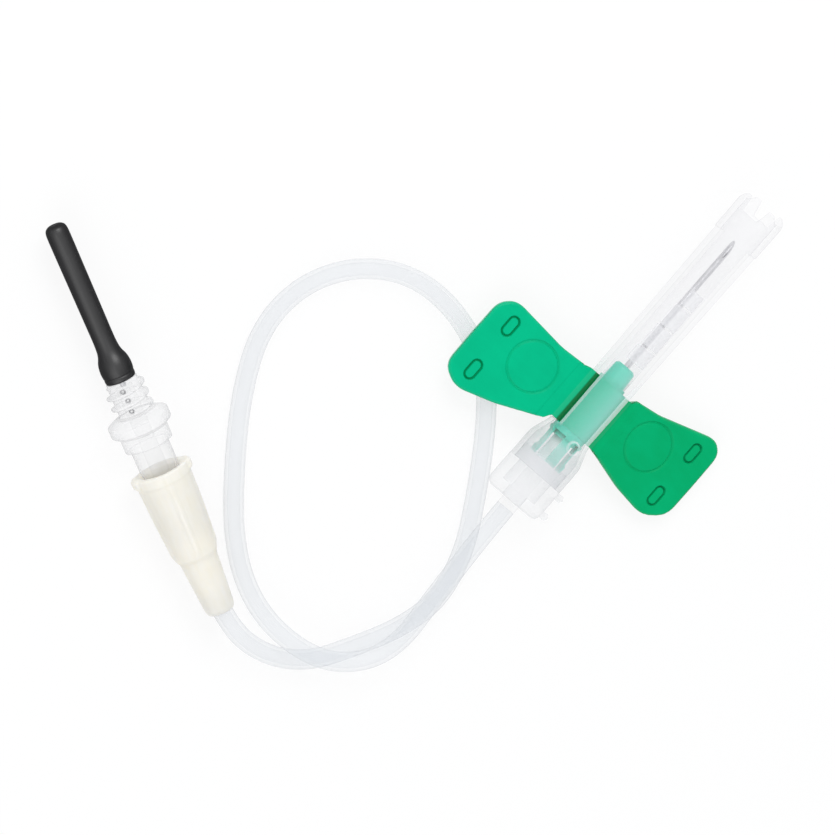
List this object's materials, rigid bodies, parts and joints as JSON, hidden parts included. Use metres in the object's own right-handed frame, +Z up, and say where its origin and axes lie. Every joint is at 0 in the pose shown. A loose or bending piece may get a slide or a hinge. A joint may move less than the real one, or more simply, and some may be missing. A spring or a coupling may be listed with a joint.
{
  "type": "butterfly needle",
  "caption": "Winged blood collection needle in a sliding clear shield, with a soft looped tube, luer connector, adapter and black sleeved rear needle.",
  "frame": {"origin": "under the middle of the shield and wings, on the surface that the set lies on", "axes": "+X along the shield towards the needle tip, +Y towards the left wing, +Z up"},
  "size_m": [0.0863, 0.0871, 0.0083],
  "materials": {
    "clear_shield": "clear moulded polypropylene, faintly grey",
    "green_hub": "rigid green hub plastic, satin",
    "green_wing": "soft green wing plastic, satin",
    "steel": "drawn stainless steel",
    "clear_tube": "soft frosted clear tubing",
    "ivory": "soft translucent ivory plastic",
    "clear_adapter": "clear moulded plastic",
    "black_rubber": "matt black rubber"
  },
  "bodies": {
    "shield_set": {"shield": "clear_shield", "end_cap": "clear_shield", "tube": "clear_tube", "female_luer": "ivory"},
    "winged_hub": {"needle_hub": "green_hub", "wing_saddle": "green_wing", "needle": "steel"},
    "wing_left": {"left_wing": "green_wing"},
    "wing_right": {"right_wing": "green_wing"},
    "adapter": {"luer_hub": "clear_adapter", "rear_needle": "steel", "rubber_sleeve": "black_rubber"}
  },
  "joints": [
    {"name": "hub_slide", "type": "slide", "parent": "shield_set", "child": "winged_hub", "axis": [1, 0, 0], "range_m": [0, 0.024]},
    {"name": "left_wing_fold", "type": "hinge", "parent": "winged_hub", "child": "wing_left", "pos_m": [-0.009, 0.0043, 0.0038], "axis": [1, 0, 0], "range_deg": [0, 83]},
    {"name": "right_wing_fold", "type": "hinge", "parent": "winged_hub", "child": "wing_right", "pos_m": [-0.009, -0.0043, 0.0038], "axis": [-1, 0, 0], "range_deg": [0, 90]},
    {"name": "adapter_pull", "type": "slide", "parent": "shield_set", "child": "adapter", "axis": [0.4289, 0.9033, 0], "range_m": [0, 0.01]}
  ]
}
